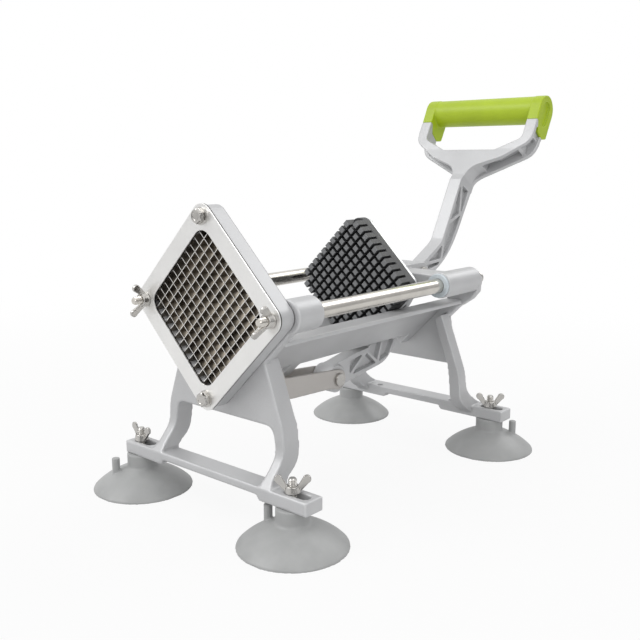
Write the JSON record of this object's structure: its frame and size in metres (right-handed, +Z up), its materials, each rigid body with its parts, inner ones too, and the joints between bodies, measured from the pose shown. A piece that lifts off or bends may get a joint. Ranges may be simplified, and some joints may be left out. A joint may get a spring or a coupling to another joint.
{
  "type": "french fry cutter",
  "caption": "Table-top lever press that drives a potato along a V-shaped trough through a square blade grid, on four suction feet.",
  "frame": {"origin": "on the mid-plane, level with the rims of the suction cups, under the front face of the blade cover", "axes": "+Z up, -Y the way the potato is pushed, +X to the right when the blade cover is seen from the front"},
  "size_m": [0.2458, 0.4326, 0.3202],
  "materials": {
    "cast_aluminium": "satin silver paint on an aluminium casting",
    "stainless_sheet": "fine brushed stainless sheet",
    "aluminium_sheet": "plain aluminium sheet",
    "blade_steel": "stainless blade strip",
    "polished_steel": "polished steel rod",
    "plated_steel": "bright plated steel",
    "link_steel": "folded stainless sheet",
    "grey_rubber": "matt grey rubber",
    "black_plastic": "matt black moulding",
    "green_plastic": "satin lime green moulding",
    "bushing_plastic": "pale blue-grey bearing plastic"
  },
  "bodies": {
    "frame": {"front_frame": "cast_aluminium", "rear_frame": "cast_aluminium", "trough": "cast_aluminium", "guide_rod_left": "polished_steel", "guide_rod_right": "polished_steel", "rod_screw_left": "plated_steel", "rod_screw_right": "plated_steel", "blade_holder": "cast_aluminium", "blades": "blade_steel", "cover_plate": "stainless_sheet", "cover_bolt_top": "plated_steel", "cover_bolt_bottom": "plated_steel", "cup_front_left": "grey_rubber", "cup_front_right": "grey_rubber", "cup_rear_left": "grey_rubber", "cup_rear_right": "grey_rubber", "foot_stud_front_left": "plated_steel", "foot_stud_front_right": "plated_steel", "foot_stud_rear_left": "plated_steel", "foot_stud_rear_right": "plated_steel", "anchor_pin": "plated_steel"},
    "carriage": {"carriage": "cast_aluminium", "bushing_left": "bushing_plastic", "bushing_right": "bushing_plastic", "backing_plate": "aluminium_sheet", "pusher_block": "black_plastic", "pusher_screws": "plated_steel", "pivot_pin": "plated_steel"},
    "lever": {"lever": "cast_aluminium", "grip": "green_plastic", "link_pin": "plated_steel"},
    "drag_link": {"drag_link": "link_steel"},
    "cover_nut_left": {"cover_nut_left": "plated_steel"},
    "cover_nut_right": {"cover_nut_right": "plated_steel"},
    "foot_nut_front_left": {"foot_nut_front_left": "plated_steel"},
    "foot_nut_front_right": {"foot_nut_front_right": "plated_steel"},
    "foot_nut_rear_left": {"foot_nut_rear_left": "plated_steel"},
    "foot_nut_rear_right": {"foot_nut_rear_right": "plated_steel"}
  },
  "joints": [
    {"name": "carriage_slide", "type": "slide", "parent": "frame", "child": "carriage", "axis": [0, -1, 0], "range_m": [0, 0.158]},
    {"name": "lever_pivot", "type": "hinge", "parent": "carriage", "child": "lever", "pos_m": [0, 0.252, 0.156], "axis": [1, 0, 0], "range_deg": [0, 53.42]},
    {"name": "link_pivot", "type": "hinge", "parent": "lever", "child": "drag_link", "pos_m": [0, 0.137, 0.079], "axis": [1, 0, 0], "range_deg": [-111.36, 0]},
    {"name": "cover_nut_left_spin", "type": "hinge", "parent": "frame", "child": "cover_nut_left", "pos_m": [-0.06498, -0.004, 0.156], "axis": [0, -1, 0], "continuous": true},
    {"name": "cover_nut_right_spin", "type": "hinge", "parent": "frame", "child": "cover_nut_right", "pos_m": [0.06498, -0.004, 0.156], "axis": [0, -1, 0], "continuous": true},
    {"name": "foot_nut_front_left_spin", "type": "hinge", "parent": "frame", "child": "foot_nut_front_left", "pos_m": [-0.087, 0.0072, 0.0426], "axis": [0, 0, 1], "continuous": true},
    {"name": "foot_nut_front_right_spin", "type": "hinge", "parent": "frame", "child": "foot_nut_front_right", "pos_m": [0.077, 0.0072, 0.0426], "axis": [0, 0, 1], "continuous": true},
    {"name": "foot_nut_rear_left_spin", "type": "hinge", "parent": "frame", "child": "foot_nut_rear_left", "pos_m": [-0.081, 0.2698, 0.0426], "axis": [0, 0, 1], "continuous": true},
    {"name": "foot_nut_rear_right_spin", "type": "hinge", "parent": "frame", "child": "foot_nut_rear_right", "pos_m": [0.08, 0.2698, 0.0426], "axis": [0, 0, 1], "continuous": true}
  ],
  "couplings": [
    {"joint": "lever_pivot", "follows": "carriage_slide", "rad_per_m": 5.9},
    {"joint": "link_pivot", "follows": "carriage_slide", "rad_per_m": -12.3}
  ]
}
